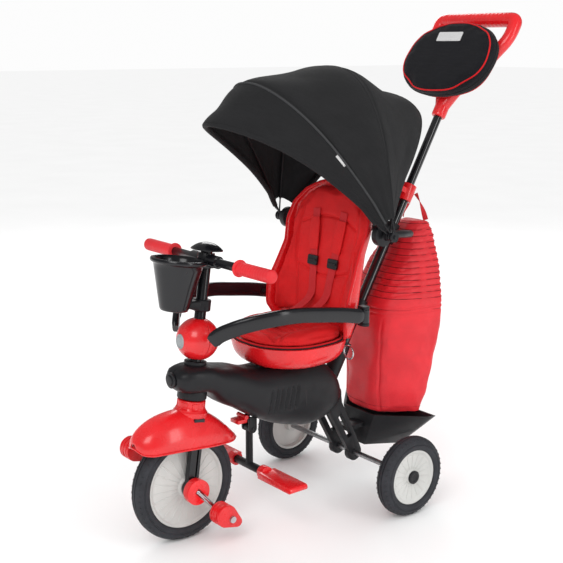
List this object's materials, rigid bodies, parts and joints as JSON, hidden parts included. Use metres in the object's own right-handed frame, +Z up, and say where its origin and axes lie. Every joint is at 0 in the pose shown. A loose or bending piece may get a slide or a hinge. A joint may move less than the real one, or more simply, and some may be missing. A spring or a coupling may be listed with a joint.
{
  "type": "children tricycle",
  "caption": "Child's push-along tricycle with a parent handle, folding sun canopy, padded seat with guard arms, cup holder, footrest and a storage bag.",
  "frame": {"origin": "on the ground, in the middle plane, halfway between the front of the front wheel and the back of the push handle", "axes": "+Z up, -Y forward, +X to the rider's left"},
  "size_m": [0.4654, 1.0057, 1.097],
  "materials": {
    "black_plastic": "satin moulded plastic",
    "gloss_black": "glossy moulded plastic",
    "red_plastic": "glossy moulded plastic",
    "pale_plastic": "satin moulded plastic",
    "tyre_rubber": "matt rubber",
    "grip_rubber": "soft ribbed rubber",
    "red_fabric": "padded woven cloth",
    "bag_fabric": "thin woven nylon",
    "black_fabric": "woven cloth",
    "pole_steel": "gloss black enamel",
    "bright_steel": "plated",
    "plain_steel": "plain"
  },
  "bodies": {
    "frame": {"body_shell_left": "black_plastic", "body_shell_right": "black_plastic", "frame_screws": "plain_steel", "nose_cap": "black_plastic", "head_tube": "plain_steel", "head_bushes": "black_plastic", "backbone_tube": "plain_steel", "axle_carriers": "black_plastic", "rear_axle": "pole_steel", "storage_tray": "black_plastic", "storage_bag": "bag_fabric", "bag_straps": "bag_fabric", "seat_pan": "red_plastic", "seat_back": "red_plastic", "seat_pad": "red_fabric", "back_pad": "red_fabric", "harness": "red_fabric", "crotch_post": "black_plastic", "pole_socket": "black_plastic", "pole_lower": "pole_steel", "pole_sleeve": "black_plastic", "pole_clamp": "red_plastic", "guard_brackets": "black_plastic", "canopy_bracket": "black_plastic", "canopy_bow_rear": "gloss_black", "footrest_bracket": "black_plastic", "canopy_cloth": "black_fabric"},
    "steering": {"fork": "black_plastic", "fender": "red_plastic", "ball_cover_front": "red_plastic", "ball_cover_rear": "red_plastic", "cup_holder": "black_plastic", "handlebar_tube": "pole_steel", "handlebar_cap": "black_plastic", "bar_grips": "grip_rubber"},
    "front_wheel": {"front_tyre": "tyre_rubber", "front_rim": "pale_plastic"},
    "crank": {"crank": "bright_steel"},
    "clutch": {"clutch_caps": "red_plastic"},
    "pedal_left": {"pedal_left": "red_plastic"},
    "pedal_right": {"pedal_right": "red_plastic"},
    "rear_wheel_left": {"rear_tyre_left": "tyre_rubber", "rear_rim_left": "pale_plastic", "rear_cap_left": "black_plastic"},
    "rear_wheel_right": {"rear_tyre_right": "tyre_rubber", "rear_rim_right": "pale_plastic", "rear_cap_right": "black_plastic"},
    "footrest": {"footrest_frame": "pole_steel", "foot_pegs": "red_plastic"},
    "footrest_latch": {"footrest_latch": "red_plastic"},
    "guard_left": {"guard_left": "gloss_black"},
    "guard_right": {"guard_right": "gloss_black"},
    "bow_front": {"canopy_bow_front": "gloss_black"},
    "bow_second": {"canopy_bow_second": "gloss_black"},
    "bow_third": {"canopy_bow_third": "gloss_black"},
    "handle": {"pole_upper": "pole_steel", "push_handle": "red_plastic", "pouch": "black_fabric"},
    "clamp_lever": {"clamp_lever": "red_plastic"},
    "pull_ring": {"pull_ring": "bright_steel"}
  },
  "joints": [
    {"name": "steer", "type": "hinge", "parent": "frame", "child": "steering", "pos_m": [0, -0.38287, 0.12], "axis": [0, 0.1409, 0.99], "range_deg": [-30, 30]},
    {"name": "front_wheel_spin", "type": "hinge", "parent": "steering", "child": "front_wheel", "pos_m": [0, -0.38287, 0.12], "axis": [1, 0, 0], "continuous": true},
    {"name": "crank_spin", "type": "hinge", "parent": "steering", "child": "crank", "pos_m": [0, -0.38287, 0.12], "axis": [1, 0, 0], "continuous": true},
    {"name": "clutch_slide", "type": "slide", "parent": "crank", "child": "clutch", "axis": [1, 0, 0], "range_m": [0, 0.004]},
    {"name": "pedal_left_spin", "type": "hinge", "parent": "crank", "child": "pedal_left", "pos_m": [0.081, -0.3249, 0.05783], "axis": [1, 0, 0], "continuous": true},
    {"name": "pedal_right_spin", "type": "hinge", "parent": "crank", "child": "pedal_right", "pos_m": [-0.081, -0.44084, 0.18216], "axis": [1, 0, 0], "continuous": true},
    {"name": "rear_left_spin", "type": "hinge", "parent": "frame", "child": "rear_wheel_left", "pos_m": [0.21375, 0.07413, 0.09], "axis": [1, 0, 0], "continuous": true},
    {"name": "rear_right_spin", "type": "hinge", "parent": "frame", "child": "rear_wheel_right", "pos_m": [-0.21375, 0.07413, 0.09], "axis": [1, 0, 0], "continuous": true},
    {"name": "footrest_fold", "type": "hinge", "parent": "frame", "child": "footrest", "pos_m": [0, -0.20787, 0.206], "axis": [1, 0, 0], "range_deg": [0, 50]},
    {"name": "footrest_latch_turn", "type": "hinge", "parent": "frame", "child": "footrest_latch", "pos_m": [0, -0.22587, 0.236], "axis": [1, 0, 0], "range_deg": [-15, 0], "stiffness_Nm_per_rad": 0.02, "springref_deg": 5.73},
    {"name": "guard_left_open", "type": "hinge", "parent": "frame", "child": "guard_left", "pos_m": [0.157, -0.01387, 0.457], "axis": [0, 0, 1], "range_deg": [0, 55]},
    {"name": "guard_right_open", "type": "hinge", "parent": "frame", "child": "guard_right", "pos_m": [-0.157, -0.01387, 0.457], "axis": [0, 0, -1], "range_deg": [0, 55]},
    {"name": "canopy_fold", "type": "hinge", "parent": "frame", "child": "bow_front", "pos_m": [0, 0.03013, 0.628], "axis": [-1, 0, 0], "range_deg": [0, 76], "deforming": ["canopy_cloth"]},
    {"name": "canopy_second_fold", "type": "hinge", "parent": "frame", "child": "bow_second", "pos_m": [0, 0.03013, 0.628], "axis": [-1, 0, 0], "range_deg": [0, 66]},
    {"name": "canopy_third_fold", "type": "hinge", "parent": "frame", "child": "bow_third", "pos_m": [0, 0.03013, 0.628], "axis": [-1, 0, 0], "range_deg": [0, 38]},
    {"name": "pole_slide", "type": "slide", "parent": "frame", "child": "handle", "axis": [0, -0.4985, -0.8669], "range_m": [0, 0.07]},
    {"name": "clamp_lever_open", "type": "hinge", "parent": "frame", "child": "clamp_lever", "pos_m": [0, 0.23719, 0.69467], "axis": [-1, 0, 0], "range_deg": [0, 90]},
    {"name": "pull_ring_swing", "type": "hinge", "parent": "frame", "child": "pull_ring", "pos_m": [0.086, 0.00413, 0.372], "axis": [1, 0, 0], "range_deg": [-20, 60]}
  ],
  "couplings": [
    {"joint": "crank_spin", "follows": "front_wheel_spin", "ratio": 1},
    {"joint": "canopy_second_fold", "follows": "canopy_fold", "ratio": 0.86842},
    {"joint": "canopy_third_fold", "follows": "canopy_fold", "ratio": 0.5}
  ]
}
